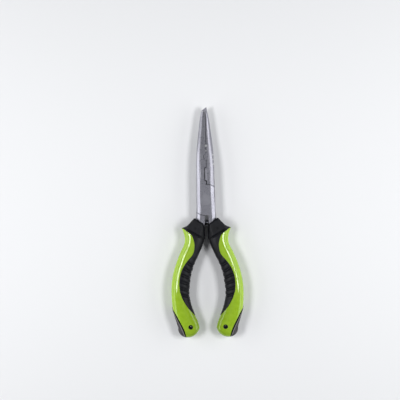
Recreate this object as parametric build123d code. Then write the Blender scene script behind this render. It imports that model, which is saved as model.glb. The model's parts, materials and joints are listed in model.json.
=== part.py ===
from build123d import *
import os
from math import cos, pi, sin, sqrt

# Long-nose split-ring pliers with a lap joint, closed and lying flat, in millimetres.
# Every piece is drawn about the pivot: X across, Y towards the tip, Z along the pivot axis.
# At the end all of them move together, so that the origin is under the middle of the tool.

# ---- whole tool ----
JAW_REACH = 68.4              # pivot to the point of the split-ring tooth
HANDLE_REACH = 101.3          # pivot to the end of the handles
GUARD_HALF_THICKNESS = 7.0    # the finger guards are the thickest place and carry the tool
PIVOT_Y = (HANDLE_REACH - JAW_REACH) / 2
PIVOT_Z = GUARD_HALF_THICKNESS

# ---- forged head: y, half width, half thickness, flat to the left, flat to the right,
#      side draft to the left, side draft to the right ----
HEAD_SECTIONS = (
    (70.0, 1.5, 1.6, 0.5, 0.8, 0.3, 0.4),
    (62.0, 2.9, 2.1, 0.9, 1.2, 0.5, 0.8),
    (54.5, 4.05, 2.6, 1.3, 1.3, 0.7, 1.2),
    (44.5, 5.25, 3.3, 2.0, 1.5, 0.7, 1.6),
    (35.0, 6.2, 4.0, 3.0, 2.1, 0.6, 1.5),
    (25.0, 6.5, 4.6, 3.5, 2.6, 0.5, 0.9),
    (12.0, 6.7, 5.15, 2.8, 2.0, 0.6, 0.8),
    (0.0, 6.9, 5.15, 2.8, 2.4, 0.7, 0.7),
    (-13.0, 7.3, 5.15, 3.4, 3.2, 0.9, 0.9),
    (-24.0, 8.2, 5.15, 4.3, 4.3, 0.9, 0.9),
)
CHAMFER_SHARE = 0.24          # chamfer depth as a share of the half thickness
SOFT_WIDTH_SHARE = 0.4        # each chamfer starts softly: the first part is this share of its width
SOFT_DEPTH_SHARE = 0.12       # and falls by this share of its depth
JOINT_HALF_THICKNESS = 5.0    # the joint's two faces are ground flat to this

# ---- lap joint ----
LAP_RADIUS = 11.4             # half-thickness discs that turn in each other's shoulders
SHOULDER_GAP = 0.18
LAP_GAP = 0.02                # each lap stays this far from the middle plane
RIVET_RADIUS = 3.0
RIVET_HEAD_RADIUS = 4.0
RIVET_HEAD_DEPTH = 1.0
RIVET_CLEARANCE = 0.04

# ---- jaws ----
SEAM_X = 0.75                 # the gripping faces meet a little to the right of the middle
SEAM_GAP = 0.02               # each jaw stays this far from the seam
SEAM_LINE = (0.17, 0.7)       # half width and depth of the groove along the seam
SEAM_END = (0.30, 1.2)        # the same between the cutter and the joint
SEAM_BEVEL = (1.15, 0.10)     # width and drop of the left jaw's inner bevel, above the holes
SEAM_BEVEL_START = 42.0
TOOTH_OUTLINE = ((SEAM_X, 65.1), (-2.25, 65.3), (-2.25, 65.6), (1.65, JAW_REACH), (4.0, 60.0), (SEAM_X, 60.0))
TOOTH_HALF_THICKNESS = (0.85, 1.25)    # at its point and at its root
LEFT_JAW_END = 64.9
SERRATION_START = 42.0
SERRATION_END = 63.0
SERRATION_PITCH = 1.2
SERRATION_DEPTH = 0.3
SERRATION_HALF_THICKNESS = 1.3
CRIMP_HOLES = ((39.8, 0.95), (36.1, 0.68))
NOSE_OUTLINE = ((0.0, 34.0), (-1.8, 32.3), (-1.8, 31.4), (-1.1, 29.9), (0.0, 29.8))
CUTTER_LOW = 14.2
CUTTER_HIGH = 23.2
CUTTER_REACH = 1.1            # the blade reaches this far over the seam
CUTTER_CLEARANCE = 0.1
CUTTER_RECESS = 0.4           # the left jaw stands back this far, but for its middle rib
CUTTER_END_RECESS = 0.5       # and this far beyond the blade's two ends
ANVIL_HALF_THICKNESS = 1.2
BLADE_FRONT = ((0.0, 0.25), (0.35, 6.0), (-0.2, 6.0))    # x from the cutting edge, z
BLADE_SLOPE = ((0.0, -0.26), (1.1, -0.14), (3.9, 0.02))  # x from the cutting edge, z above the face
NOSE_CLEARANCE = 0.04
NOSE_LINE_WIDTH = 0.24        # width of the groove along the nose on the two faces
NOSE_LINE_START = 3.2         # and its bottom, from the middle plane
EDGE_NOTCH_YS = (33.1, 29.9, 26.3)
EDGE_NOTCH_HEIGHT = 1.0
EDGE_NOTCH_DEPTH = 1.3

# ---- tangs and return spring ----
SLOT_LEFT = -1.1
SLOT_RIGHT = 1.85
TANG_HEAD_END = -20.5         # full thickness stops here, inside the guard
TANG_LINE = (
    (-17.5, 5.6), (-27.0, 8.6), (-40.0, 13.6), (-50.0, 17.4), (-60.0, 19.7), (-70.0, 20.3), (-79.0, 19.2),
)
TANG_SHOULDER = (-17.0, 1.2)  # the slot's wall steps out here, by this much
TANG_HALF_WIDTH = 2.4
TANG_HALF_THICKNESS = 2.3
SPRING_Y = -16.6
SPRING_RADIUS = 2.0           # outside radius of the coil
SPRING_SEAT_RADIUS = 2.25
SPRING_SEAT_DEPTH = 3.2

# ---- handles: plan edges as (y, x) and half thickness as (y, z) of the handle at +X ----
INNER_EDGE = (
    (-16.0, 1.5), (-21.0, 1.2), (-25.0, 1.4), (-30.0, 2.1), (-34.5, 3.5), (-39.5, 5.8),
    (-47.0, 9.3), (-54.5, 11.8), (-62.0, 13.0), (-69.5, 13.5), (-77.0, 12.2), (-84.5, 9.6),
    (-89.5, 7.4), (-94.0, 6.3),
)
OUTER_EDGE = (
    (-16.0, 19.5), (-20.2, 18.3), (-24.0, 16.9), (-28.5, 16.0), (-33.0, 16.8), (-38.0, 19.3),
    (-45.0, 22.2), (-53.0, 24.8), (-62.0, 26.4), (-72.0, 26.6), (-82.0, 25.6), (-90.0, 23.4),
    (-94.0, 22.2),
)
HALF_THICKNESS = (
    (-16.0, 5.2), (-24.0, 5.6), (-34.0, 5.9), (-50.0, 6.4), (-65.0, 6.6), (-80.0, 6.1), (-94.0, 5.4),
)
BODY_START = -16.0
DOME_START = -94.0            # below this the handle closes in an elliptic dome
DOME_DRIFT = 0.8              # the dome leans outwards by this much
SECTION_POWER = 2.5           # superellipse power of the handle's cross-section
SECTION_POINTS = 24
GUARD_TOP = ((8.7, -13.3), (13.2, -17.4), (15.4, -19.0), (18.3, -20.3))
GUARD_PANEL = (
    (8.7, -13.3), (2.1, -17.4), (1.2, -20.7), (1.3, -25.0), (3.6, -27.4), (12.6, -23.3), (13.2, -17.8),
)
GUARD_CHAMFER = 1.2
GRIP_LINE = (
    (18.3, -20.2), (11.7, -24.9), (8.9, -34.0), (10.3, -39.8), (15.0, -45.5), (18.8, -52.0),
    (20.5, -60.0), (19.6, -69.0), (15.2, -78.0), (9.0, -85.5),
)
HEEL_LINE = ((27.5, -77.5), (24.0, -83.0), (21.3, -88.0), (17.3, -96.0), (15.9, -102.0))
WEB_INSET = 2.6               # the hard core goes on inside the soft skins from this depth
WEB_HALF_THICKNESS = 3.5
WEB_YS = tuple(-24.0 - 7.0 * i for i in range(9))
WEB_TAIL_YS = (-78.0, -84.0, -90.0, -96.0)
WEB_TAIL_X = 14.0             # inner side of the web's tail, under the heel pad
WEB_TAIL_INSET = 3.6
HOLE_CENTRE = (12.8, -93.2)
HOLE_RADIUS = 1.7
EYELET_BORE_RADIUS = 1.0
INNER_LIMIT = -5.0            # plan tools that open inwards reach this far past the middle
FAR = 40.0                    # cutting tools reach at least this far


def follow(points, y):
    """Height of a smooth curve through (y, value) points at y: cubic Hermite pieces whose
    slopes come from the neighbouring points."""
    last = len(points) - 1
    i = next(k for k in range(last) if y >= points[k + 1][0] or k == last - 1)

    def slope(k):
        a, b = points[max(k - 1, 0)], points[min(k + 1, last)]
        return (b[1] - a[1]) / (b[0] - a[0])

    (y0, v0), (y1, v1) = points[i], points[i + 1]
    step = y1 - y0
    t = (y - y0) / step
    return (
        v0 * (1 + 2 * t) * (1 - t) ** 2
        + v1 * t * t * (3 - 2 * t)
        + step * slope(i) * t * (1 - t) ** 2
        + step * slope(i + 1) * t * t * (t - 1)
    )


def prism(points, low=-FAR, high=FAR):
    """Straight-sided prism along Z over a plan outline."""
    face = make_face(Polyline(*[(x, y, low) for x, y in points], close=True))
    return extrude(face, high - low, dir=(0, 0, 1))


def region(curve, corners, low=-FAR, high=FAR):
    """Prism along Z whose outline is a spline through curve, closed through corners."""
    edge = Spline(*[(x, y, low) for x, y in curve])
    rest = Polyline(*[(x, y, low) for x, y in (curve[-1], *corners, curve[0])])
    return extrude(make_face(edge + rest), high - low, dir=(0, 0, 1))


def disc(radius, low=-FAR, high=FAR, centre=(0, 0)):
    return Pos(centre[0], centre[1], (low + high) / 2) * Cylinder(radius, high - low)


# ---- head ----
def head_envelope():
    """Loft of closed sections: two flats, four chamfers in two steps each, and drafted sides."""
    sections = []
    for y, half, thick, flat_l, flat_r, draft_l, draft_r in HEAD_SECTIONS:
        side = thick * (1 - CHAMFER_SHARE)
        soft = thick * (1 - CHAMFER_SHARE * SOFT_DEPTH_SHARE)
        soft_r = flat_r + SOFT_WIDTH_SHARE * (half - draft_r - flat_r)
        soft_l = flat_l + SOFT_WIDTH_SHARE * (half - draft_l - flat_l)
        front = [(half - draft_r, side), (soft_r, soft), (flat_r, thick)]
        front += [(-flat_l, thick), (-soft_l, soft), (-half + draft_l, side)]
        back = [(x, -z) for x, z in reversed(front)]
        ring = [(half, 0), *front, (-half, 0), *back]
        sections.append(make_face(Polyline(*[(x, y, z) for x, z in ring], close=True)))
    return loft(sections) & Box(FAR, 4 * FAR, 2 * JOINT_HALF_THICKNESS)


def head_half_width(y):
    return follow([(section[0], section[1]) for section in HEAD_SECTIONS], y)


def seam_cut(profile, low, high):
    """Cutting tool along the seam between two heights, on the front and the back face. The
    profile is (x from the seam, z above the face)."""
    cut = Part()
    for i in range(len(HEAD_SECTIONS) - 1):
        (y0, _, t0), (y1, _, t1) = HEAD_SECTIONS[i][:3], HEAD_SECTIONS[i + 1][:3]
        top, bottom = min(y0, high), max(y1, low)
        if top <= bottom:
            continue
        faces = []
        for y in (top, bottom):
            face_z = min(t0 + (t1 - t0) * (y - y0) / (y1 - y0), JOINT_HALF_THICKNESS)
            faces.append(make_face(Polyline(*[(SEAM_X + x, y, face_z + z) for x, z in profile], close=True)))
        piece = loft(faces, ruled=True)
        cut += piece
        cut += mirror(piece, about=Plane.XY)
    return cut


def seam_groove():
    """Straight groove along the whole seam, apart from the cutter and the crimping nose."""
    def profile(half, depth):
        return [(-half, -depth), (half, -depth), (half, 1), (-half, 1)]

    cut = seam_cut(profile(*SEAM_END), LAP_RADIUS, CUTTER_LOW)
    cut += seam_cut(profile(*SEAM_LINE), CUTTER_HIGH, NOSE_OUTLINE[-1][1])
    return cut + seam_cut(profile(*SEAM_LINE), NOSE_OUTLINE[0][1], LEFT_JAW_END)


def seam_bevel():
    """Long shallow bevel on the inner edges of the left jaw."""
    width, drop = SEAM_BEVEL
    return seam_cut([(-width, 0), (0, -drop), (0, 1), (-width, 1)], SEAM_BEVEL_START, LEFT_JAW_END)


def serrations(side):
    """Rows of V cuts in the middle of one gripping face; the two jaws are half a pitch apart."""
    cut = Part()
    z = SERRATION_HALF_THICKNESS
    count = int((SERRATION_END - SERRATION_START) / SERRATION_PITCH)
    face_x = SEAM_X + side * SEAM_GAP
    for i in range(count):
        y = SERRATION_START + (i + (0.0 if side < 0 else 0.5)) * SERRATION_PITCH
        mouth_x = face_x - side * 0.2
        ring = ((mouth_x, y - 0.3), (face_x + side * SERRATION_DEPTH, y), (mouth_x, y + 0.3))
        cut += prism(ring, -z, z)
    return cut


def left_jaw_region():
    left = SEAM_X - SEAM_GAP
    shape = prism(((left, 0), (left, LEFT_JAW_END), (-FAR, LEFT_JAW_END), (-FAR, 0)))
    shape -= prism(nose_recess(NOSE_CLEARANCE))
    shape -= prism(nose_recess(NOSE_LINE_WIDTH), -FAR, -NOSE_LINE_START)
    shape -= prism(nose_recess(NOSE_LINE_WIDTH), NOSE_LINE_START)
    edge = SEAM_X - CUTTER_REACH - CUTTER_CLEARANCE
    shape -= cutter_notch(edge, CUTTER_CLEARANCE)
    recess = cutter_notch(edge - CUTTER_RECESS + CUTTER_CLEARANCE, CUTTER_END_RECESS)
    return shape - (recess - disc(FAR, -ANVIL_HALF_THICKNESS, ANVIL_HALF_THICKNESS))


def nose_recess(margin):
    """Plan of the crimping nose with a margin, in the left jaw."""
    nose = [(SEAM_X + x - margin, y) for x, y in NOSE_OUTLINE[1:4]]
    return ((SEAM_X, NOSE_OUTLINE[0][1] + margin), *nose, (SEAM_X, NOSE_OUTLINE[-1][1] - margin))


def cutter_notch(x, margin):
    low, high = CUTTER_LOW - margin, CUTTER_HIGH + margin
    return prism(((SEAM_X, low), (x, low), (x, high), (SEAM_X, high)))


def right_jaw_region():
    right = SEAM_X + SEAM_GAP
    shape = prism(((right, 0), (right, 60), (FAR, 60), (FAR, 0)))
    shape += prism(TOOTH_OUTLINE) & prism(((-FAR, 60), (FAR, 60), (FAR, 70), (-FAR, 70)))
    shape -= prism(((right, 59), (right, 65.1), (SEAM_X - 9, 65.1), (SEAM_X - 9, 59)))
    shape += prism([(SEAM_X + x, y) for x, y in NOSE_OUTLINE] + [(right + 0.5, 29.8), (right + 0.5, 34.0)])
    edge = SEAM_X - CUTTER_REACH
    root = right + 0.5
    shape += prism(((edge, CUTTER_LOW), (root, CUTTER_LOW), (root, CUTTER_HIGH), (edge, CUTTER_HIGH)))
    return shape


def blade_pockets():
    """Tools that leave the side cutter: its steep front, and a shallow slope down to its edge
    from each face."""
    edge = SEAM_X - CUTTER_REACH
    ring = [(edge + x, CUTTER_LOW, z) for x, z in BLADE_FRONT]
    front = extrude(make_face(Polyline(*ring, close=True)), CUTTER_HIGH - CUTTER_LOW, dir=(0, 1, 0))
    slope = [(x - CUTTER_REACH, z) for x, z in BLADE_SLOPE]
    slope = [*slope, (slope[-1][0], 1), (slope[0][0] - 0.2, 1), (slope[0][0] - 0.2, slope[0][1])]
    return front + mirror(front, about=Plane.XY) + seam_cut(slope, CUTTER_LOW, CUTTER_HIGH)


def tooth_bevels():
    """Planes that thin the split-ring tooth towards its point."""
    point_x, root_x = TOOTH_OUTLINE[1][0], SEAM_X + 0.4
    thin, thick = TOOTH_HALF_THICKNESS
    ring = [(point_x, 64.0, thin), (root_x, 64.0, thick), (root_x, 64.0, 6), (point_x, 64.0, 6)]
    wedge = extrude(make_face(Polyline(*ring, close=True)), 8, dir=(0, 1, 0))
    wedge -= prism(((-FAR, 60), (FAR, 60), (FAR, 65.0), (-FAR, 65.0)))
    return wedge + mirror(wedge, about=Plane.XY)


def crimp_cutters():
    return [disc(radius, centre=(SEAM_X, y)) for y, radius in CRIMP_HOLES]


def tang_bar():
    """Flat bar that follows the middle of the handle inside its core (handle at +X)."""
    right = [(x + TANG_HALF_WIDTH, y) for y, x in TANG_LINE]
    left = [(x - TANG_HALF_WIDTH, y) for y, x in reversed(TANG_LINE)]
    z = TANG_HALF_THICKNESS
    face = make_face(
        Spline(*[(x, y, -z) for x, y in right]) + Line((*right[-1], -z), (*left[0], -z))
        + Spline(*[(x, y, -z) for x, y in left]) + Line((*left[-1], -z), (*right[0], -z))
    )
    return extrude(face, 2 * z, dir=(0, 0, 1))


def right_tang_region(inner_x):
    """Plan of the tang's head at +X, whose inner wall starts at inner_x."""
    shoulder_y, step = TANG_SHOULDER
    wall = [(inner_x, 0), (inner_x, shoulder_y), (inner_x + step, TANG_HEAD_END)]
    return prism([*wall, (FAR, TANG_HEAD_END), (FAR, 0)])


def spring_seat(inner_x):
    """Blind bore for one end of the spring, from the middle to its depth in the tang at +X."""
    end = inner_x + SPRING_SEAT_DEPTH
    return Pos(end / 2, SPRING_Y, 0) * Rot(0, 90, 0) * Cylinder(SPRING_SEAT_RADIUS, end)


def rivet_shape(extra):
    """Shank with a shallow cone at both ends, flush with the two faces."""
    half = JOINT_HALF_THICKNESS
    shape = disc(RIVET_RADIUS + extra, -half, half)
    cone = Cone(RIVET_RADIUS + extra, RIVET_HEAD_RADIUS + extra, RIVET_HEAD_DEPTH)
    shape += Pos(0, 0, half - RIVET_HEAD_DEPTH / 2) * cone
    shape += Pos(0, 0, -half + RIVET_HEAD_DEPTH / 2) * Rot(180, 0, 0) * cone
    return shape


def front_arm(envelope):
    """Left jaw, front lap and right tang."""
    outside = disc(LAP_RADIUS + SHOULDER_GAP)
    jaw = left_jaw_region()
    tang = right_tang_region(SLOT_RIGHT)
    lap = disc(LAP_RADIUS, LAP_GAP, FAR)
    full = (jaw - outside) + (tang - outside)
    front = jaw & disc(LAP_RADIUS + 1, LAP_GAP, FAR)
    front += tang & disc(LAP_RADIUS + 1, LAP_GAP, FAR)
    arm = envelope & (full + front + lap)
    arm += tang_bar()
    arm -= seam_groove()
    arm -= seam_bevel()
    arm -= serrations(-1)
    for cutter in crimp_cutters():
        arm -= cutter
    arm -= rivet_shape(0)
    return arm - spring_seat(SLOT_RIGHT)


def rear_arm(envelope):
    """Right jaw with the tooth and the cutter blade, rear lap and left tang."""
    outside = disc(LAP_RADIUS + SHOULDER_GAP)
    jaw = right_jaw_region()
    tang = mirror(right_tang_region(-SLOT_LEFT), about=Plane.YZ)
    lap = disc(LAP_RADIUS, -FAR, -LAP_GAP)
    full = (jaw - outside) + (tang - outside)
    rear = jaw & disc(LAP_RADIUS + 1, -FAR, -LAP_GAP)
    rear += tang & disc(LAP_RADIUS + 1, -FAR, -LAP_GAP)
    arm = envelope & (full + rear + lap)
    arm += mirror(tang_bar(), about=Plane.YZ)
    arm -= blade_pockets()
    arm -= tooth_bevels()
    arm -= seam_groove()
    arm -= serrations(1)
    for cutter in crimp_cutters():
        arm -= cutter
    for y in EDGE_NOTCH_YS:
        middle = head_half_width(y) - EDGE_NOTCH_DEPTH + FAR / 2
        arm -= Pos(middle, y, 0) * Box(FAR, EDGE_NOTCH_HEIGHT, FAR)
    arm -= rivet_shape(RIVET_CLEARANCE)
    return arm - mirror(spring_seat(-SLOT_LEFT), about=Plane.YZ)


def return_spring():
    """Closed envelope of the coil spring that sits in the two blind seats."""
    length = SLOT_RIGHT - SLOT_LEFT + 2 * SPRING_SEAT_DEPTH
    middle = (SLOT_RIGHT + SLOT_LEFT) / 2
    coil = Cylinder(SPRING_RADIUS, length) - Cylinder(SPRING_RADIUS - 0.8, length)
    return Pos(middle, SPRING_Y, 0) * Rot(0, 90, 0) * coil


# ---- handles (drawn at +X, mirrored for the other side) ----
def handle_section(y, shrink=1.0, drift=0.0):
    inner, outer, thick = follow(INNER_EDGE, y), follow(OUTER_EDGE, y), follow(HALF_THICKNESS, y)
    return (inner + outer) / 2 + drift, (outer - inner) / 2 * shrink, thick * shrink


def superellipse(y, centre, half, thick):
    """Closed curve |x/half|^p + |z/thick|^p = 1 in the plane at y, walked by polar angle."""
    points = []
    for i in range(SECTION_POINTS):
        a = 2 * pi * i / SECTION_POINTS
        reach = (abs(cos(a)) ** SECTION_POWER + abs(sin(a)) ** SECTION_POWER) ** (-1 / SECTION_POWER)
        points.append((centre + half * reach * cos(a), y, thick * reach * sin(a)))
    return make_face(Spline(*points, periodic=True))


def handle_body():
    """Loft down the handle, closed at the lower end by an elliptic dome."""
    sections = []
    count = 18
    for i in range(count + 1):
        y = BODY_START + (DOME_START - BODY_START) * i / count
        sections.append(superellipse(y, *handle_section(y)))
    depth = HANDLE_REACH + DOME_START
    for share in (0.35, 0.62, 0.82, 0.94, 1.0):
        shrink = sqrt(1 - (0.985 * share) ** 2)
        centre, half, thick = handle_section(DOME_START, shrink, DOME_DRIFT * share)
        sections.append(superellipse(DOME_START - depth * share, centre, half, thick))
    return loft(sections)


def guard_panel():
    """Raised faceted block of the finger guard."""
    block = prism(GUARD_PANEL, -GUARD_HALF_THICKNESS, GUARD_HALF_THICKNESS)
    rims = block.faces().sort_by(Axis.Z)
    return chamfer(rims[0].edges() + rims[-1].edges(), GUARD_CHAMFER)


def core_web():
    """Middle layer of the hard core that carries on inside the soft skins."""
    inner = [(follow(INNER_EDGE, y) + WEB_INSET, y) for y in WEB_YS]
    outer = [(follow(OUTER_EDGE, y) - WEB_INSET, y) for y in reversed(WEB_YS)]
    low, high = -WEB_HALF_THICKNESS, WEB_HALF_THICKNESS
    upper = prism(inner + outer, low, high)
    tail = [(follow(OUTER_EDGE, max(y, DOME_START)) - WEB_TAIL_INSET, y) for y in WEB_TAIL_YS]
    return upper + prism([*tail, (WEB_TAIL_X, WEB_TAIL_YS[-1]), (WEB_TAIL_X, WEB_TAIL_YS[0])], low, high)


def handle_pieces(arm, slot_x):
    """Hard core, soft grip, heel pad and eyelet round the tang of one arm (at +X)."""
    body = handle_body()
    above_x = GUARD_TOP[0][0]
    above_guard = prism((*GUARD_TOP, (FAR, GUARD_TOP[-1][1]), (FAR, 0), (above_x, 0)))
    inner_top = GUARD_PANEL[:3]
    inside = prism(((above_x, 0), *inner_top, (INNER_LIMIT, inner_top[-1][1]), (INNER_LIMIT, 0)))
    body = body - above_guard - inside
    soft = region(GRIP_LINE, ((INNER_LIMIT, GRIP_LINE[-1][1]), (INNER_LIMIT, 0), (GRIP_LINE[0][0], 0)))
    heel_side = region(HEEL_LINE, ((FAR, HEEL_LINE[-1][1]), (FAR, HEEL_LINE[0][1])))
    web = core_web()
    hole = disc(HOLE_RADIUS, centre=HOLE_CENTRE)
    core = (body - soft - heel_side) + (body & web)
    core = core - arm - hole
    grip = (body & soft) + guard_panel()
    grip = grip - web - arm - spring_seat(slot_x)
    heel = (body & heel_side) - web
    eyelet = (body & hole) - disc(EYELET_BORE_RADIUS, centre=HOLE_CENTRE)
    return core, grip, heel, eyelet


def largest(part):
    """The one solid that matters, without slivers left by the cuts."""
    return max(part.solids(), key=lambda s: s.volume)


envelope = head_envelope()
front = largest(front_arm(envelope))
rear = largest(rear_arm(envelope))
right_core, right_grip, right_heel, right_eyelet = (largest(p) for p in handle_pieces(front, SLOT_RIGHT))
left_parts = handle_pieces(mirror(rear, about=Plane.YZ), -SLOT_LEFT)
left_core, left_grip, left_heel, left_eyelet = (largest(mirror(p, about=Plane.YZ)) for p in left_parts)

PIECES = {
    "front_arm": front,
    "rear_arm": rear,
    "pivot_rivet": largest(rivet_shape(0)),
    "return_spring": largest(return_spring()),
    "right_handle_core": right_core,
    "right_soft_grip": right_grip,
    "right_heel_pad": right_heel,
    "right_lanyard_eyelet": right_eyelet,
    "left_handle_core": left_core,
    "left_soft_grip": left_grip,
    "left_heel_pad": left_heel,
    "left_lanyard_eyelet": left_eyelet,
}

os.makedirs("parts", exist_ok=True)
for name, piece in PIECES.items():
    export_step(Pos(0, PIVOT_Y, PIVOT_Z) * piece, f"parts/{name}.step")
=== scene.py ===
"""Long-nose split-ring fishing pliers, closed and lying flat.

The two steel arms and the rivet are shown as the frame has them and get their finish here. The
moulded handles, the eyelets and the spring are new surfaces, worked out on grids. Lengths are
millimetres about the pivot, with the handle at +X drawn first and mirrored for the other side,
until to_object puts a mesh in its place in metres.
"""
import json
import math

import bpy
import numpy as np
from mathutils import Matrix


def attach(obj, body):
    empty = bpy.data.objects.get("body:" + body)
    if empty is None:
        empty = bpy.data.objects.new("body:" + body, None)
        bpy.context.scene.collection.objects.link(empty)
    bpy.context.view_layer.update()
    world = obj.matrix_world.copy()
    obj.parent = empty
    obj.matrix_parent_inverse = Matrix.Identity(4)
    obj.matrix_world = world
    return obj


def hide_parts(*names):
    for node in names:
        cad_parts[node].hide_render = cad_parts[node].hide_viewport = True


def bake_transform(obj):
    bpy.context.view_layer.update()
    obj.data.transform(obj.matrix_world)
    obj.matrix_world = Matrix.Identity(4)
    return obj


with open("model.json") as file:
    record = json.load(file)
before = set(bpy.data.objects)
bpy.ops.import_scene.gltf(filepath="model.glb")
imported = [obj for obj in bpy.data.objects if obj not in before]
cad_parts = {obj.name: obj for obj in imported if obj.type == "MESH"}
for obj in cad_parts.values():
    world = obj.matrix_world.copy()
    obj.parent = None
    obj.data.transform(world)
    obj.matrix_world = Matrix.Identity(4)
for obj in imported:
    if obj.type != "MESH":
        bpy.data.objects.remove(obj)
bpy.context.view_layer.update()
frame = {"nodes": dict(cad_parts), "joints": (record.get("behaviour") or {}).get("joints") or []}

MM = 0.001
PIVOT = np.array(frame["joints"][0]["pos_m"])
FRONT, REAR = "front_body", "rear_body"
SIDES = (("right", 1, FRONT), ("left", -1, REAR))

# ---- handle: plan edges as (y, x) and half thickness as (y, z) ----
INNER_EDGE = (
    (-16.0, 1.5), (-21.0, 1.2), (-25.0, 1.4), (-30.0, 2.1), (-34.5, 3.5), (-39.5, 5.8),
    (-47.0, 9.3), (-54.5, 11.8), (-62.0, 13.0), (-69.5, 13.5), (-77.0, 12.2), (-84.5, 9.6),
    (-89.5, 7.4), (-94.0, 6.3),
)
OUTER_EDGE = (
    (-16.0, 19.5), (-20.2, 18.3), (-24.0, 16.9), (-28.5, 16.0), (-33.0, 16.8), (-38.0, 19.3),
    (-45.0, 22.2), (-53.0, 24.8), (-62.0, 26.4), (-72.0, 26.6), (-82.0, 25.6), (-90.0, 23.4),
    (-94.0, 22.2),
)
HALF_THICKNESS = (
    (-16.0, 5.2), (-24.0, 5.6), (-34.0, 5.9), (-50.0, 6.4), (-65.0, 6.6), (-80.0, 6.1), (-94.0, 5.4),
)
SECTION_POWER = 2.5
DOME_START = -94.0
HANDLE_END = -101.3
DOME_DRIFT = 0.8

# ---- colour lines on the handle, as (y, x) ----
GRIP_LINE = (
    (-20.2, 18.3), (-24.9, 11.7), (-29.0, 9.6), (-34.0, 8.9), (-39.8, 10.3), (-45.5, 15.0),
    (-52.0, 18.8), (-60.0, 20.5), (-69.0, 19.6), (-78.0, 15.2), (-85.5, 9.0),
)
HEEL_LINE = ((-77.5, 27.5), (-83.0, 24.0), (-88.0, 21.3), (-96.0, 17.3), (-102.0, 15.9))
GRIP_TOP = -21.6
GRIP_BOTTOM = -85.0
CORE_TOP = -20.6
HEEL_TOP = -78.6
GRIP_SEAT = 1.6               # the core is sunk this far under the soft grip
HEEL_SEAT = 2.0               # and this far under the heel pad
SKIN = 1.8                    # thickness of the moulded skins
GRIP_PROUD = 0.16             # the soft grip stands this far above the core
EDGE_DIP = 0.45               # and dips by this much along its edge
BAND_CROWN = 0.14             # height of the bands between the ribs
HEEL_GROOVE_DEPTH = 1.0
HEEL_RIDGE = (1.8, 0.30)      # distance from the pad's edge, and height
HEEL_SKIN_DROP = 0.12         # the pad's face lies this far under the core's surface

# ---- ribs of the soft grip, counted along the handle's own middle line ----
RIB_FIRST = -45.0
RIB_PITCH = 4.86
RIB_COUNT = 6
RIB_HALF_WIDTH = 0.75         # from a rib's middle to each of its two grooves
RIB_SLANT = 0.27              # the ribs climb outwards by this much, against a square crossing
GROOVE_WIDTH = 0.32
GROOVE_DEPTH = 0.5

# ---- finger guard: plan points as (x, y), lines from one plan point to another ----
GUARD_OUTLINE = (
    (8.7, -13.3), (2.1, -17.4), (1.2, -20.7), (1.2, -25.4), (1.2, -29.2), (5.0, -28.6),
    (11.5, -25.9), (15.0, -22.9), (18.3, -20.5), (16.0, -19.9), (13.7, -18.7),
)
GUARD_MIDDLE = (8.3, -20.6)
GUARD_TOP = 7.0
CREASE = ((4.6, -26.6), (13.0, -21.9))
RIM = ((2.5, -18.6), (4.6, -26.6))
WING_START = 14.3
CORNER_SMOOTHING = 1.4
GUARD_BEVEL = (1.25, 1.15)    # width and drop of the bevel along the guard's edge
LAST_INSET = 12.0             # the guard's rings close at this inset

# ---- steel: painted shade along the seam of the closed jaws as (y, x, half width), and along the joint's shoulder ----
SEAM_LINE = (
    (11.0, 0.75, 0.30), (13.69, 0.75, 0.30), (13.7, 0.15, 0.90), (14.2, 0.15, 0.90),
    (14.21, -0.55, 0.24), (23.2, -0.55, 0.24), (23.21, 0.0, 0.77), (23.7, 0.0, 0.77),
    (23.71, 0.75, 0.17), (29.6, 0.75, 0.15), (29.9, -0.46, 0.12), (31.4, -1.16, 0.12),
    (32.3, -1.16, 0.12), (34.1, 0.64, 0.12), (34.4, 0.75, 0.17), (65.2, 0.75, 0.17),
)
SHOULDER_RADIUS = 11.49
SHOULDER_HALF_GAP = 0.24      # wider than the real gap, so that the shade painted in it shows

# ---- lanyard eyelet and return spring ----
HOLE_CENTRE = (12.8, -93.2)
HOLE_RADIUS = 1.7
EYELET_BORE = 1.0
SPRING_ENDS = (-4.3, 5.05)    # x of the bottom of each tang's seat
SPRING_Y = -16.6
SPRING_RADIUS = 1.65
WIRE_RADIUS = 0.35
SPRING_TURNS = 7
END_CLOSING = 0.0225          # how much closer the turns lie at the spring's two ends


# ======== curves and sections ========
def follow(points, y):
    """Smooth curve through (y, value) points, evaluated at an array y: cubic Hermite pieces whose
    slopes are those of the line from each point's last neighbour to its next."""
    table = np.array(points[::-1], float)
    ys, vs = table[:, 0], table[:, 1]
    before = np.concatenate([[0], np.arange(len(ys) - 1)])
    after = np.concatenate([np.arange(1, len(ys)), [len(ys) - 1]])
    slopes = (vs[after] - vs[before]) / (ys[after] - ys[before])
    y = np.clip(y, ys[0], ys[-1])
    i = np.clip(np.searchsorted(ys, y, side="right") - 1, 0, len(ys) - 2)
    step = ys[i + 1] - ys[i]
    t = (y - ys[i]) / step
    return (
        vs[i] * (1 + 2 * t) * (1 - t) ** 2
        + vs[i + 1] * t * t * (3 - 2 * t)
        + step * slopes[i] * t * (1 - t) ** 2
        + step * slopes[i + 1] * t * t * (t - 1)
    )


def smooth_step(low, high, value):
    """0 at low and 1 at high, by 3 t squared minus 2 t cubed of the share t between them."""
    t = np.clip((value - low) / (high - low), 0, 1)
    return t * t * (3 - 2 * t)


def bump(distance, width):
    """Bell curve of height 1: exp of minus (distance / width) squared."""
    return np.exp(-((distance / width) ** 2))


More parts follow.
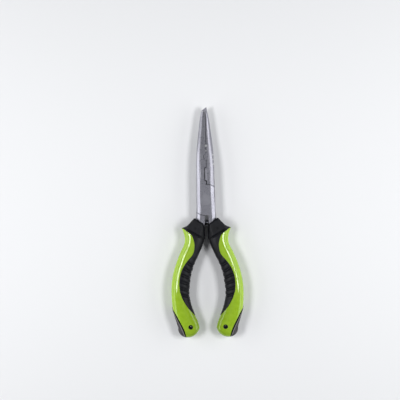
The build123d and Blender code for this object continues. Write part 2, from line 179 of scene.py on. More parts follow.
def section(y):
    """Middle, half width and half thickness of the handle at y. Below the dome's start the section
    at its start shrinks as a quarter ellipse."""
    y = np.asarray(y, float)
    share = np.clip((DOME_START - y) / (DOME_START - HANDLE_END), 0, 1)
    shrink = np.sqrt(1 - (0.9995 * share) ** 2)
    held = np.maximum(y, DOME_START)
    inner, outer = follow(INNER_EDGE, held), follow(OUTER_EDGE, held)
    middle = (inner + outer) / 2 + DOME_DRIFT * share
    return middle, (outer - inner) / 2 * shrink, follow(HALF_THICKNESS, held) * shrink


def skin_point(y, angle, lift=0.0):
    """Point of the handle's skin: superellipse |x/w|^p + |z/h|^p = 1 at polar angle, 0 outwards,
    then lift along its own normal in the plane of the section."""
    middle, half, thick = section(y)
    p = SECTION_POWER
    c, s = np.cos(angle), np.sin(angle)
    reach = (np.abs(c) ** p + np.abs(s) ** p) ** (-1 / p)
    nx = np.sign(c) * np.abs(reach * c) ** (p - 1) / half
    nz = np.sign(s) * np.abs(reach * s) ** (p - 1) / thick
    size = np.hypot(nx, nz)
    x = middle + half * reach * c + lift * nx / size
    z = thick * reach * s + lift * nz / size
    return np.stack(np.broadcast_arrays(x, y, z), axis=-1)


def skin_height(x, y):
    """Height of the handle's front face over a plan point."""
    middle, half, thick = section(y)
    share = np.clip(np.abs((x - middle) / half), 0, 1) ** SECTION_POWER
    return thick * (1 - share) ** (1 / SECTION_POWER)


def line_angle(y, line):
    """Polar angle at which the section at y crosses a colour line on the front."""
    middle, half, _ = section(y)
    across = np.clip((follow(line, y) - middle) / half, -0.99999, 0.99999)
    share = np.abs(across) ** SECTION_POWER
    angle = np.arctan(((1 - share) / np.maximum(share, 1e-9)) ** (1 / SECTION_POWER))
    return np.where(across < 0, math.pi - angle, angle)


def dome_share(y):
    """Size of the section at y against the one at the dome's start: 1 above it, 0 at the end."""
    return section(y)[1] / section(np.maximum(y, DOME_START))[1]


def millimetre(y, angle):
    """Angle that moves a point of the section by one millimetre, or in the dome by less, in
    proportion to the section."""
    step = 1e-3
    move = skin_point(y, angle + step) - skin_point(y, angle)
    return step * dome_share(y) / np.maximum(np.linalg.norm(move, axis=-1), 1e-6)


def axis_place(x, y):
    """Where the rib direction through (x, y) meets the handle's middle line, as a y: square to
    that line, and then slanted."""
    middle = section(y)[0]
    lean = section(y + 0.5)[0] - section(y - 0.5)[0]
    return y + (lean - RIB_SLANT) * (x - middle)


def rib_grooves(x, y):
    """Pairs of narrow grooves, one pair for each rib, as a depth share from 0 to 1."""
    place = axis_place(x, y)
    nearest = np.clip(np.round((RIB_FIRST - place) / RIB_PITCH), 0, RIB_COUNT - 1)
    off = place - (RIB_FIRST - nearest * RIB_PITCH)
    return bump(off - RIB_HALF_WIDTH, GROOVE_WIDTH) + bump(off + RIB_HALF_WIDTH, GROOVE_WIDTH)


def stations(top, bottom, fine, coarse, fine_from, fine_to):
    """Heights from top to bottom: fine steps in one stretch, coarse steps outside it, and in the
    dome steps that follow the sine of an even angle."""
    last = max(bottom, DOME_START)
    parts = []
    for low, high, step in ((fine_from, top, coarse), (fine_to, fine_from, fine), (last, fine_to, coarse)):
        low, high = max(low, last), min(high, top)
        if high > low:
            parts.append(np.linspace(high, low, max(2, int((high - low) / step)), endpoint=False))
    if bottom < DOME_START:
        angle = np.linspace(0, math.pi / 2, 34)
        parts.append(DOME_START + (HANDLE_END - DOME_START) * np.sin(angle))
    else:
        parts.append(np.array([last]))
    return np.concatenate(parts)[:, None]


# ======== meshes ========
def closed_rings(rings):
    """Vertices and faces of a closed skin through rings of points, shape (rings, points, 3). Each
    end is closed by a fan round the middle of its ring."""
    count, around = rings.shape[:2]
    ends = rings[[0, -1]].mean(axis=1)
    points = np.vstack([rings.reshape(-1, 3), ends])
    i = np.arange(count - 1)[:, None] * around
    j = np.arange(around)[None, :]
    following = (j + 1) % around
    quads = np.stack([i + j, i + following, i + around + following, i + around + j], axis=-1)
    j, following = j[0], following[0]
    last = (count - 1) * around
    top = np.stack([np.full(around, count * around), following, j], axis=-1)
    bottom = np.stack([np.full(around, count * around + 1), last + j, last + following], axis=-1)
    return points, [*quads.reshape(-1, 4).tolist(), *top.tolist(), *bottom.tolist()]


def signed_volume(points, faces):
    """Sum of the tetrahedra from the origin to each face, cut into triangles."""
    corners = np.array([(f[0], f[k], f[k + 1]) for f in faces for k in range(1, len(f) - 1)])
    a, b, c = (points[corners[:, k]] for k in range(3))
    return np.einsum("ij,ij->", a, np.cross(b, c)) / 6


def to_object(name, points, faces, side):
    """Mesh object in place: mirrored for side -1, moved to the pivot, faces turned outwards."""
    placed = points * (side * MM, MM, MM) + PIVOT
    centred = placed - placed.mean(axis=0)
    if signed_volume(centred, faces) < 0:
        faces = [face[::-1] for face in faces]
    mesh = bpy.data.meshes.new(name)
    mesh.from_pydata(placed.tolist(), [], faces)
    mesh.polygons.foreach_set("use_smooth", np.ones(len(mesh.polygons), bool))
    piece = bpy.data.objects.new(name, mesh)
    bpy.context.scene.collection.objects.link(piece)
    return piece


def joined(*shells):
    """Several closed shells as one set of points and faces."""
    points, faces, start = [], [], 0
    for shell_points, shell_faces in shells:
        points.append(shell_points)
        faces += [[v + start for v in face] for face in shell_faces]
        start += len(shell_points)
    return np.vstack(points), faces


def outward(shell):
    """The same closed shell with its faces turned outwards."""
    points, faces = shell
    if signed_volume(points - points.mean(axis=0), faces) < 0:
        faces = [face[::-1] for face in faces]
    return points, faces


def bored(piece, centre, radius, side):
    """Cuts a round hole along Z through a piece and leaves no modifier behind."""
    angle = np.linspace(0, 2 * math.pi, 48, endpoint=False)
    x = centre[0] + radius * np.cos(angle)
    y = centre[1] + radius * np.sin(angle)
    rings = np.stack([np.stack([x, y, np.full_like(angle, z)], axis=-1) for z in (-15, 15)])
    cutter = to_object("cutter", *closed_rings(rings), side)
    cut = piece.modifiers.new("hole", "BOOLEAN")
    cut.operation = "DIFFERENCE"
    cut.solver = "EXACT"
    cut.object = cutter
    graph = bpy.context.evaluated_depsgraph_get()
    mesh = bpy.data.meshes.new_from_object(piece.evaluated_get(graph))
    piece.modifiers.clear()
    piece.data = mesh
    bpy.data.objects.remove(cutter)
    mesh.set_sharp_from_angle(angle=math.radians(40))


# ======== handle pieces ========
def core_rings():
    """Hard core: whole sections, sunk under the grip and under the heel pad. Its grid lines run
    along both colour lines, at distances in millimetres from them, so that the steps are crisp.
    The front's columns are mirrored for the back."""
    y = stations(CORE_TOP, HANDLE_END, 0.25, 0.6, -36.0, -60.0)
    heel = line_angle(y, HEEL_LINE)
    grip = line_angle(y, GRIP_LINE)
    heel_on = smooth_step(0.02, 0.25, heel) * (y < HEEL_TOP + 1.5) * dome_share(y)
    grip_on = smooth_step(0.02, 0.25, math.pi - grip) * (y > GRIP_BOTTOM - 0.4)
    heel = np.clip(heel, 0.12, math.pi - 0.5)
    grip = np.clip(np.maximum(grip, heel + 0.15), 0.3, math.pi - 0.12)
    heel_mm, grip_mm = millimetre(y, heel), millimetre(y, grip)

    outermost, innermost = np.zeros_like(heel), np.full_like(grip, math.pi)
    green_start, green_end = heel + 0.3 * heel_mm, grip - 0.35 * grip_mm
    green_end = np.maximum(green_end, green_start + 0.02)
    rib_zone = smooth_step(-66.0, -56.0, y) * smooth_step(-36.5, -40.0, y)

    def spread(start, end, count):
        """Even steps from start to end at each height."""
        return start + (end - start) * np.linspace(0, 1, count)[None, :]

    def green(angle):
        """Columns of the open core, where the grip's grooves run on a little, and shallower."""
        x = skin_point(y, angle)[..., 0]
        near_grip = smooth_step(7.0, 1.5, (grip - angle) / grip_mm)
        return angle, -0.10 * rib_grooves(x, y) * near_grip * rib_zone

    columns = (
        (spread(outermost, heel - 0.12 * heel_mm, 14), -HEEL_SEAT * heel_on),
        (heel - 0.04 * heel_mm, -HEEL_SEAT * heel_on),
        (heel, -0.28 * heel_on),
        (heel + 0.12 * heel_mm, -0.07 * heel_on),
        green(spread(green_start, green_end, 30)),
        green(np.maximum(grip + 0.1 * grip_mm, green_end + 0.01)),
        (np.maximum(grip + 0.5 * grip_mm, green_end + 0.02), -GRIP_SEAT * grip_on),
        (spread(grip + 0.9 * grip_mm, innermost, 18), -GRIP_SEAT * grip_on),
    )
    angles = np.concatenate([angle for angle, _ in columns], axis=1)
    lifts = np.concatenate([np.broadcast_to(lift, angle.shape) for angle, lift in columns], axis=1)
    back = slice(-2, 0, -1)
    full = np.concatenate([angles, -angles[:, back]], axis=1)
    lift = np.concatenate([lifts, lifts[:, back]], axis=1)
    return skin_point(y, full, lift)


def skin_rings(y, start, end, count, edge_steps, profile, depth):
    """Closed rings of a moulded skin: the outer arc from angle start to end, lifted by profile of
    the distance from its nearer edge, and back along an inner arc at depth. Also that distance
    at each point, 0 on the inner arc. In the dome, distance and lift shrink with the section."""
    start_mm, end_mm = millimetre(y, start), millimetre(y, end)
    steps = np.array(edge_steps)[None, :]
    first = start + steps * start_mm
    final = end - steps[:, ::-1] * end_mm
    middle = first[:, -1:] + (final[:, :1] - first[:, -1:]) * np.linspace(0, 1, count + 2)[None, 1:-1]
    angles = np.sort(np.concatenate([first, middle, final], axis=1), axis=1)
    line = skin_point(y, angles)
    pace = np.linalg.norm(np.diff(line, axis=1), axis=-1)
    run = np.concatenate([np.zeros((len(y), 1)), np.cumsum(pace, axis=1)], axis=1)
    edge = np.minimum(run, run[:, -1:] - run) / dome_share(y)
    lift = profile(line[..., 0], line[..., 1], edge) * dome_share(y)
    outer = skin_point(y, angles, lift)
    inner = skin_point(y, angles[:, ::-1], -depth * dome_share(y))
    return np.concatenate([outer, inner], axis=1), np.concatenate([edge, np.zeros_like(edge)], axis=1)


def grip_profile(x, y, edge):
    """Soft grip: its edge dips into the core, the skin stands slightly proud, the bands between
    the ribs are crowned, and each rib is a pair of grooves."""
    lift = GRIP_PROUD - EDGE_DIP * bump(edge, 0.3)
    zone = smooth_step(-73.5, -71.0, y) * smooth_step(-39.0, -42.5, y)
    crown = BAND_CROWN * (1 - np.cos(2 * math.pi * (axis_place(x, y) - RIB_FIRST) / RIB_PITCH)) / 2
    return lift + zone * (crown - GROOVE_DEPTH * rib_grooves(x, y)) * smooth_step(0.1, 0.9, edge)


def grip_shell():
    """Soft grip from inside the guard down to where the two colour lines meet the inner edge."""
    y = stations(GRIP_TOP, GRIP_BOTTOM, 0.16, 0.5, -42.0, -74.0)
    start = line_angle(y, GRIP_LINE)
    start = np.minimum(start - 0.35 * millimetre(y, start), math.pi - 0.05)
    start = np.maximum(start, 0.03)
    edges = (0, 0.12, 0.25, 0.42, 0.7)
    rings, _ = skin_rings(y, start, 2 * math.pi - start, 70, edges, grip_profile, SKIN)
    return outward(closed_rings(rings))


def heel_profile(x, y, edge):
    """Heel pad: a deep groove beside the core, then a thin ridge, then the pad's low crown."""
    groove = -HEEL_GROOVE_DEPTH * (1 - smooth_step(1.0, 1.6, edge))
    ridge_place, ridge_height = HEEL_RIDGE
    ridge = ridge_height * bump(edge - ridge_place, 0.25)
    return groove + ridge - HEEL_SKIN_DROP * smooth_step(1.9, 2.4, edge)


def heel_shell():
    """Heel pad on the outer side of the handle's lower end, and how far each of its points is
    from the pad's edge."""
    y = stations(HEEL_TOP, HANDLE_END, 0.3, 0.3, HEEL_TOP, HEEL_TOP)
    end = line_angle(y, HEEL_LINE)
    end = np.clip(end + 0.25 * millimetre(y, end), 0.06, 2.6)
    edges = (0, 0.3, 0.6, 0.9, 1.1, 1.25, 1.4, 1.55, 1.7, 1.85, 2.0, 2.15, 2.4)
    rings, edge = skin_rings(y, -end, end, 40, edges, heel_profile, SKIN)
    return outward(closed_rings(rings)), np.append(edge.ravel(), (0, 0))


def rounded_outline(corners, smoothing, count):
    """Closed outline through corners, walked evenly, with its corners rounded by averaging it
    along a sliding stretch."""
    loop = np.array([*corners, corners[0]], float)
    run = np.concatenate([[0], np.cumsum(np.linalg.norm(np.diff(loop, axis=0), axis=1))])
    walk = np.linspace(0, run[-1], count, endpoint=False)
    line = np.stack([np.interp(walk, run, loop[:, k]) for k in range(2)], axis=-1)
    reach = max(1, int(smoothing / 2 / (run[-1] / count)))
    return np.mean([np.roll(line, k, axis=0) for k in range(-reach, reach + 1)], axis=0)


def beside(line, x, y):
    """Distance of (x, y) from a straight line, positive to the left of its direction."""
    (ax, ay), (bx, by) = line
    return ((bx - ax) * (y - ay) - (by - ay) * (x - ax)) / math.hypot(bx - ax, by - ay)


def soft_ramp(value, softness):
    """Zero below 0 and value above it, with a rounded corner: half of value plus the root of
    value squared plus softness squared."""
    return 0.5 * (value + np.sqrt(value * value + softness * softness))


def guard_height(x, y):
    """Front face of the finger guard: a flat panel with a thin raised rim and a slope inside it,
    a groove under its lower edge, a rounded lip below that, and a wing that falls outwards."""
    above = beside(CREASE, x, y)
    inwards = -beside(RIM, x, y)
    wing = 0.85 * soft_ramp(x - WING_START - 0.12 * (y + 19), 0.5)
    slope = 0.95 * soft_ramp(inwards - 0.1, 0.35)
    rim = 0.12 * bump(inwards + 0.35, 0.35) * smooth_step(-0.5, 0.5, above)
    groove = 0.9 * bump(above + 0.3, 0.4) * smooth_step(15.5, 12.5, x) * smooth_step(1.2, 0.0, inwards)
    lip = 0.4 * smooth_step(0.0, -0.7, above) + 0.9 * np.maximum(-above - 1.4, 0) ** 1.2
    return GUARD_TOP - 0.15 - wing - slope + rim - groove - lip


def guard_shell():
    """Finger guard: its rounded outline shrinks to the middle of the front face and of the back
    face, with a bevel along the edge and straight sides between. Each inset is even in
    millimetres at the edge, and turns into a share of the way to the middle."""
    outline = rounded_outline(GUARD_OUTLINE, CORNER_SMOOTHING, 240)
    spoke = outline - GUARD_MIDDLE
    length = np.linalg.norm(spoke, axis=1, keepdims=True)
    bevel_width, bevel_drop = GUARD_BEVEL
    rings = []
    for inset in (*np.linspace(0, 1.8, 16), *np.linspace(2.1, LAST_INSET, 34)):
        even = inset / length
        through = inset / LAST_INSET
        share = np.minimum(even, 0.995 * through + (1 - through) * even)
        plan = GUARD_MIDDLE + spoke * (1 - share)
        top = guard_height(plan[:, 0], plan[:, 1])
        bevel = bevel_drop * (1 - smooth_step(0.0, bevel_width, inset))
        rings.append(np.column_stack([plan, np.maximum(top - bevel, 0.6)]))
    side = [rings[0] * (1, 1, k) for k in (0.75, 0.5, 0.25, 0, -0.25, -0.5, -0.75)]
    back = [ring * (1, 1, -1) for ring in rings]
    return outward(closed_rings(np.stack([*rings[::-1], *side, *back])))


def eyelet_shell():
    """Black bush in the lanyard hole: a thin tube whose lips follow the handle's two faces."""
    angle = np.linspace(0, 2 * math.pi, 64, endpoint=False)
    profile = ((EYELET_BORE, -0.35), (EYELET_BORE + 0.1, -0.05), (EYELET_BORE + 0.28, 0.08),
               (HOLE_RADIUS, 0.05), (HOLE_RADIUS + 0.04, -0.4))
    front = []
    for radius, proud in profile:
        x = HOLE_CENTRE[0] + radius * np.cos(angle)
        y = HOLE_CENTRE[1] + radius * np.sin(angle)
        front.append(np.column_stack([x, y, skin_height(x, y) + proud]))
    back = [ring * (1, 1, -1) for ring in front[::-1]]
    loop = np.stack([*front, *back])
    points = loop.reshape(-1, 3)
    rows, around = loop.shape[:2]
    i, j = np.meshgrid(np.arange(rows), np.arange(around), indexing="ij")
    down, on = (i + 1) % rows, (j + 1) % around
    here, below = i * around, down * around
    quads = np.stack([here + j, here + on, below + on, below + j], axis=-1)
    return outward((points, quads.reshape(-1, 4).tolist()))


def spring_shell():
    """Coil spring between the tangs: a round wire carried along a helix about X, whose pace along
    X falls at both ends by a sine, so that the end turns close up."""
    t = np.linspace(0, 1, 420)[:, None]
    turn = 2 * math.pi * SPRING_TURNS * t
    low, high = SPRING_ENDS
    inset = WIRE_RADIUS + 0.05
    x = low + inset + (high - low - 2 * inset) * (t - END_CLOSING * np.sin(4 * math.pi * t))
    y = SPRING_Y + SPRING_RADIUS * np.cos(turn)
    z = SPRING_RADIUS * np.sin(turn)
    centre = np.concatenate([x, y, z], axis=1)
    along = np.gradient(centre, axis=0)
    along /= np.linalg.norm(along, axis=1, keepdims=True)
    radial = np.concatenate([np.zeros_like(t), np.cos(turn), np.sin(turn)], axis=1)
    square = np.cross(along, radial)
    a = np.linspace(0, 2 * math.pi, 10, endpoint=False)[None, :, None]
    rings = centre[:, None] + WIRE_RADIUS * (np.cos(a) * radial[:, None] + np.sin(a) * square[:, None])
    return outward(closed_rings(rings))


# ======== materials ========
NOISE_SPAN = {"From Min": 0.3, "From Max": 0.7}    # most of a noise texture's values lie here
COLOUR = {"data_type": "RGBA"}       # Mix sockets 0, 6 and 7: share, first colour, second colour
RIDGE_MIDDLE = 1.85                  # middle of the highlight painted along the heel pad's ridge


def linear(code):
    """Linear RGBA of an sRGB hex colour."""
    parts = [int(code[k:k + 2], 16) / 255 for k in (1, 3, 5)]
    return [c / 12.92 if c <= 0.04045 else ((c + 0.055) / 1.055) ** 2.4 for c in parts] + [1.0]


def add(tree, kind, settings, sockets):
    """One node with its settings, and its sockets set to a value or linked to an output."""
    node = tree.nodes.new(kind)
    for key, value in settings.items():
        setattr(node, key, value)
    for key, value in sockets.items():
        if isinstance(value, bpy.types.NodeSocket):
            tree.links.new(value, node.inputs[key])
        else:
            node.inputs[key].default_value = value
    return node


def start_material(name):
    """Empty material with its output and a place in object coordinates."""
    material = bpy.data.materials.new(name)
    material.use_nodes = True
    tree = material.node_tree
    tree.nodes.clear()
    output = add(tree, "ShaderNodeOutputMaterial", {}, {})
    place = add(tree, "ShaderNodeTexCoord", {}, {}).outputs["Object"]
    return material, tree, output, place


def per_millimetre(size):
    """Texture scale, in metres, whose features are about size millimetres."""
    return 1000 / size


def mottle(tree, place, size, detail, stretch=(1, 1, 1)):
    """Uneven pattern with features of about size millimetres, drawn out where stretch is below
    1: noise on the stretched place."""
    scaled = add(tree, "ShaderNodeMapping", {}, {"Vector": place, "Scale": stretch}).outputs[0]
    return add(tree, "ShaderNodeTexNoise", {}, {
        "Vector": scaled, "Scale": per_millimetre(size), "Detail": detail,
    }).outputs[0]


def table(tree, value, rows):
    """Value looked up in (position, height) rows, straight between them. Heights from -2 to 2 are
    kept as greys in a colour ramp."""
    low, high = rows[0][0], rows[-1][0]
    share = add(tree, "ShaderNodeMapRange", {}, {"Value": value, "From Min": low, "From Max": high})
    ramp = add(tree, "ShaderNodeValToRGB", {}, {"Fac": share.outputs[0]})
    stops = ramp.color_ramp.elements
    while len(stops) < len(rows):
        stops.new(0.5)
    for stop, (position, height) in zip(stops, rows):
        grey = (height + 2) / 4
        stop.position = (position - low) / (high - low)
        stop.color = (grey, grey, grey, 1)
    return add(tree, "ShaderNodeMath", {"operation": "MULTIPLY_ADD"}, {
        0: ramp.outputs[0], 1: 4.0, 2: -2.0,
    }).outputs[0]


def painted_seam_shade(tree, place):
    """Painted shade on the steel: 1 in the seam of the jaws and in the joint's shoulders, 0 elsewhere:
    distance from the seam's line, or from the shoulder's circle in the two quarters that each face
    shows, where the product of x, y and z is above 0."""
    local = add(tree, "ShaderNodeMapping", {}, {
        "Vector": place, "Location": tuple(-PIVOT / MM), "Scale": (1 / MM, 1 / MM, 1 / MM),
    }).outputs[0]
    x, y, z = add(tree, "ShaderNodeSeparateXYZ", {}, {"Vector": local}).outputs

    first, last = SEAM_LINE[0][0], SEAM_LINE[-1][0]
    line = table(tree, y, [(place_y, middle) for place_y, middle, _ in SEAM_LINE])
    width = table(tree, y, [(place_y, half) for place_y, _, half in SEAM_LINE])
    near = add(tree, "ShaderNodeMath", {"operation": "COMPARE"}, {0: x, 1: line, 2: width}).outputs[0]
    along = add(tree, "ShaderNodeMath", {"operation": "COMPARE"}, {
        0: y, 1: (first + last) / 2, 2: (last - first) / 2,
    }).outputs[0]
    seam = add(tree, "ShaderNodeMath", {"operation": "MULTIPLY"}, {0: near, 1: along}).outputs[0]

    flat = add(tree, "ShaderNodeVectorMath", {"operation": "MULTIPLY"}, {0: local, 1: (1, 1, 0)}).outputs[0]
    radius = add(tree, "ShaderNodeVectorMath", {"operation": "LENGTH"}, {0: flat}).outputs["Value"]
    ring = add(tree, "ShaderNodeMath", {"operation": "COMPARE"}, {
        0: radius, 1: SHOULDER_RADIUS, 2: SHOULDER_HALF_GAP,
    }).outputs[0]
    area = add(tree, "ShaderNodeMath", {"operation": "MULTIPLY"}, {0: x, 1: y}).outputs[0]
    product = add(tree, "ShaderNodeMath", {"operation": "MULTIPLY"}, {0: area, 1: z}).outputs[0]
    quarter = add(tree, "ShaderNodeMath", {"operation": "GREATER_THAN"}, {0: product, 1: 0.0}).outputs[0]
    shoulder = add(tree, "ShaderNodeMath", {"operation": "MULTIPLY"}, {0: ring, 1: quarter}).outputs[0]
    return add(tree, "ShaderNodeMath", {"operation": "MAXIMUM"}, {0: seam, 1: shoulder}).outputs[0]


def satin_steel(name, dark, light, rough, joint_line=False):
    """Forged carbon steel, ground and satin polished: grain that speckles the flats, faint polishing
    lines along the tool, and with joint_line shade painted near black along the seam and shoulder.
    Ground grain is finer than half a millimetre, and is drawn that coarse so that it shows."""
    material, tree, output, place = start_material(name)
    grain = mottle(tree, place, 0.55, 4.0)
    lines = mottle(tree, place, 0.5, 3.0, (1.0, 0.06, 1.0))
    cloud = mottle(tree, place, 9.0, 2.0)
    specks = add(tree, "ShaderNodeMapRange", {}, {"Value": grain, **NOISE_SPAN}).outputs[0]
    shade = add(tree, "ShaderNodeMapRange", {}, {"Value": cloud, **NOISE_SPAN, "To Max": 0.35}).outputs[0]
    colour = add(tree, "ShaderNodeMix", COLOUR, {0: specks, 6: linear(dark), 7: linear(light)}).outputs[2]
    colour = add(tree, "ShaderNodeMix", COLOUR, {0: shade, 6: colour, 7: linear(dark)}).outputs[2]
    gloss = add(tree, "ShaderNodeMapRange", {}, {
        "Value": grain, **NOISE_SPAN, "To Min": rough - 0.05, "To Max": rough + 0.06,
    }).outputs[0]
    if joint_line:
        # painted shade: the seam and the shoulder's gap are coloured near black and made duller, standing
        # in for the shade inside them
        seam_shade_mask = painted_seam_shade(tree, place)
        colour = add(tree, "ShaderNodeMix", COLOUR, {0: seam_shade_mask, 6: colour, 7: linear("#15151A")}).outputs[2]
        dull = add(tree, "ShaderNodeMath", {"operation": "MULTIPLY"}, {0: seam_shade_mask, 1: 0.7}).outputs[0]
        gloss = add(tree, "ShaderNodeMath", {"operation": "MAXIMUM"}, {0: gloss, 1: dull}).outputs[0]
    relief = add(tree, "ShaderNodeMath", {"operation": "ADD"}, {0: grain, 1: lines}).outputs[0]
    bumped = add(tree, "ShaderNodeBump", {}, {
        "Height": relief, "Strength": 0.07, "Distance": 0.05 * MM,
    }).outputs[0]
    shader = add(tree, "ShaderNodeBsdfPrincipled", {}, {
        "Base Color": colour, "Metallic": 1.0, "Roughness": gloss, "Normal": bumped,
    })
    tree.links.new(shader.outputs[0], output.inputs["Surface"])
    return material


def moulded_green():
    """Polypropylene moulded in a smooth polished tool: bright semi-gloss green with a very slight
    orange-peel skin."""
    material, tree, output, place = start_material("green_polypropylene")
    peel = mottle(tree, place, 2.6, 2.0)
    fine = mottle(tree, place, 0.25, 3.0)
    tint = add(tree, "ShaderNodeMapRange", {}, {"Value": peel, **NOISE_SPAN}).outputs[0]
    colour = add(tree, "ShaderNodeMix", COLOUR, {
        0: tint, 6: linear("#95BB26"), 7: linear("#A1C532"),
    }).outputs[2]
    gloss = add(tree, "ShaderNodeMapRange", {}, {
        "Value": fine, **NOISE_SPAN, "To Min": 0.08, "To Max": 0.13,
    }).outputs[0]
    bumped = add(tree, "ShaderNodeBump", {}, {
        "Height": peel, "Strength": 0.06, "Distance": 0.2 * MM,
    }).outputs[0]
    shader = add(tree, "ShaderNodeBsdfPrincipled", {}, {
        "Base Color": colour, "Roughness": gloss, "IOR": 1.49, "Normal": bumped,
    })
    tree.links.new(shader.outputs[0], output.inputs["Surface"])
    return material


def moulded_rubber(name, dark, light, rough, banded=False):
    """Thermoplastic rubber moulded in a spark-eroded tool: fine pits, drawn at about 0.35 mm so
    that they show, low sheen, and paler rubbed patches. A banded one has painted shade, near black,
    in the groove along its edge, and a painted highlight, pale grey, on its ridge."""
    material, tree, output, place = start_material(name)
    pits = mottle(tree, place, 0.35, 4.0)
    wear = mottle(tree, place, 5.0, 3.0)
    rubbed = add(tree, "ShaderNodeMapRange", {}, {"Value": wear, **NOISE_SPAN}).outputs[0]
    colour = add(tree, "ShaderNodeMix", COLOUR, {0: rubbed, 6: linear(dark), 7: linear(light)}).outputs[2]
    if banded:
        # painted shade near black in the groove along the pad's edge, and a painted highlight in pale grey
        # on its ridge
        edge = add(tree, "ShaderNodeAttribute", {"attribute_name": "edge_mm"}, {}).outputs["Fac"]
        skin = add(tree, "ShaderNodeMapRange", {}, {
            "Value": edge, "From Min": 1.35, "From Max": 1.6,
        }).outputs[0]
        off = add(tree, "ShaderNodeMath", {"operation": "SUBTRACT"}, {0: edge, 1: RIDGE_MIDDLE}).outputs[0]
        away = add(tree, "ShaderNodeMath", {"operation": "ABSOLUTE"}, {0: off}).outputs[0]
        ridge = add(tree, "ShaderNodeMapRange", {}, {
            "Value": away, "From Min": 0.15, "From Max": 0.35, "To Min": 0.8, "To Max": 0.0,
        }).outputs[0]
        colour = add(tree, "ShaderNodeMix", COLOUR, {0: skin, 6: linear("#0C0D10"), 7: colour}).outputs[2]
        colour = add(tree, "ShaderNodeMix", COLOUR, {0: ridge, 6: colour, 7: linear("#8E8B8B")}).outputs[2]
    gloss = add(tree, "ShaderNodeMapRange", {}, {
        "Value": pits, **NOISE_SPAN, "To Min": rough - 0.06, "To Max": rough + 0.08,
    }).outputs[0]
    bumped = add(tree, "ShaderNodeBump", {}, {
        "Height": pits, "Strength": 0.35, "Distance": 0.12 * MM,
    }).outputs[0]
    shader = add(tree, "ShaderNodeBsdfPrincipled", {}, {
        "Base Color": colour, "Roughness": gloss, "Specular IOR Level": 0.16, "Normal": bumped,
    })
    tree.links.new(shader.outputs[0], output.inputs["Surface"])
    return material


STEEL = satin_steel("satin_carbon_steel", "#8C8C96", "#A9A9B2", 0.30, joint_line=True)
RIVET_STEEL = satin_steel("ground_rivet_steel", "#8A8A93", "#ABABB3", 0.34)
SPRING_STEEL = satin_steel("drawn_spring_wire", "#6A6A70", "#86868C", 0.28)
GREEN = moulded_green()
BLACK = moulded_rubber("black_soft_rubber", "#0E0F12", "#16171B", 0.45)
GREY = moulded_rubber("grey_heel_rubber", "#3E3B3D", "#4C4A4B", 0.5, banded=True)


def finished(piece, body, slot, material, *replaced):
    """Gives a piece its material and body, and hides the CAD nodes that it stands for. The slot is not
    used.
    """
    piece.data.materials.clear()
    piece.data.materials.append(material)
    if replaced:
        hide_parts(*replaced)
    if body:
        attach(piece, body)


# ======== the pliers ========
for node, material in (("front_arm", STEEL), ("rear_arm", STEEL), ("pivot_rivet", RIVET_STEEL)):
    frame["nodes"][node].data.materials.clear()
    frame["nodes"][node].data.materials.append(material)

cores = {}
for side_name, side, body in SIDES:
    core = to_object(f"{side_name}_core", *closed_rings(core_rings()), side)
    bored(core, HOLE_CENTRE, HOLE_RADIUS, side)
    finished(core, body, "green_plastic", GREEN, f"{side_name}_handle_core")
    cores[side_name] = core
    grip = to_object(f"{side_name}_grip", *joined(grip_shell(), guard_shell()), side)
    grip.data.set_sharp_from_angle(angle=math.radians(50))
    finished(grip, body, "black_rubber", BLACK, f"{side_name}_soft_grip")
    shell, edge = heel_shell()
    heel = to_object(f"{side_name}_heel", *shell, side)
    heel.data.attributes.new("edge_mm", "FLOAT", "POINT").data.foreach_set("value", edge.astype(np.float32))
    finished(heel, body, "grey_rubber", GREY, f"{side_name}_heel_pad")
    eyelet = to_object(f"{side_name}_eyelet", *eyelet_shell(), side)
    finished(eyelet, body, "black_rubber", BLACK, f"{side_name}_lanyard_eyelet")

spring = to_object("coil_spring", *spring_shell(), 1)
finished(spring, None, "spring_steel", SPRING_STEEL, "return_spring")
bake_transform(spring)


# ======== floor, light and camera ========
def flat_floor():
    """Pale matt square under the tool, as far as reach metres each way."""
    mesh = bpy.data.meshes.new("floor")
    reach = 12
    corners = [(-reach, -reach, 0), (reach, -reach, 0), (reach, reach, 0), (-reach, reach, 0)]
    mesh.from_pydata(corners, [], [(0, 1, 2, 3)])
    floor = bpy.data.objects.new("floor", mesh)
    bpy.context.scene.collection.objects.link(floor)
    material, tree, output, _ = start_material("pale_floor")
    shader = add(tree, "ShaderNodeBsdfPrincipled", {}, {
        "Base Color": linear("#D9DADC"), "Roughness": 0.9, "Specular IOR Level": 0.2,
    })
    tree.links.new(shader.outputs[0], output.inputs["Surface"])
    mesh.materials.append(material)


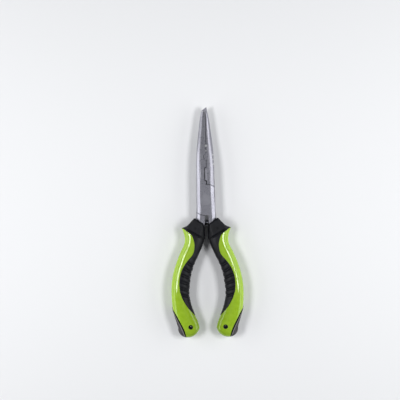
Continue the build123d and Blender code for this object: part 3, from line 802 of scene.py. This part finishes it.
def soft_light(name, place, target, size, power):
    """Rectangular soft box at place, turned about Y to face target, with its long side along Y.
    Places and sizes are metres, and power is watts."""
    data = bpy.data.lights.new(name, "AREA")
    data.shape = "RECTANGLE"
    data.size, data.size_y = size
    data.energy = power
    light = bpy.data.objects.new(name, data)
    bpy.context.scene.collection.objects.link(light)
    light.location = place
    aim = np.array(target) - np.array(place)
    light.rotation_euler = (0, -math.atan2(aim[0], -aim[2]), 0)
    return light


def shaded_from(light, piece):
    """Keeps one lamp off one piece, as a card beside the lamp does in a studio."""
    card = bpy.data.collections.new(f"card_{light.name}")
    card.objects.link(piece)
    light.light_linking.receiver_collection = card
    card.collection_objects[0].light_linking.link_state = "EXCLUDE"


flat_floor()
tool = np.array((PIVOT[0], 0, PIVOT[2]))
soft_light("top_box", (0.0, 0.15, 1.0), (0.0, 0.15, 0.0), (0.5, 0.8), 0.34)
soft_light("left_box", (-0.62, 0.0, 0.26), tool, (0.36, 0.9), 2.5)
soft_light("right_box", (0.62, 0.0, 0.26), tool, (0.36, 0.9), 2.5)
left_strip = soft_light("left_strip", (-0.33, 0.01, 0.52), tool, (0.15, 0.26), 2.0)
right_strip = soft_light("right_strip", (0.33, 0.01, 0.52), tool, (0.15, 0.26), 2.0)
shaded_from(left_strip, cores["right"])
shaded_from(right_strip, cores["left"])

world = bpy.data.worlds.new("studio")
world.use_nodes = True
world.node_tree.nodes["Background"].inputs["Color"].default_value = linear("#C6CACF")
world.node_tree.nodes["Background"].inputs["Strength"].default_value = 0.12
bpy.context.scene.world = world
bpy.context.scene.view_settings.view_transform = "Standard"

CAMERA_HEIGHT = 0.697         # metres above the pivot
CAMERA_OFFSET = (-0.00428, -0.00007)
CAMERA_ROLL = math.radians(-1.05)
lens = bpy.data.cameras.new("camera")
lens.lens = 85
lens.sensor_width = 36
camera = bpy.data.objects.new("camera", lens)
bpy.context.scene.collection.objects.link(camera)
camera.location = PIVOT + (*CAMERA_OFFSET, CAMERA_HEIGHT)
camera.rotation_euler = (0, 0, CAMERA_ROLL)
bpy.context.scene.camera = camera
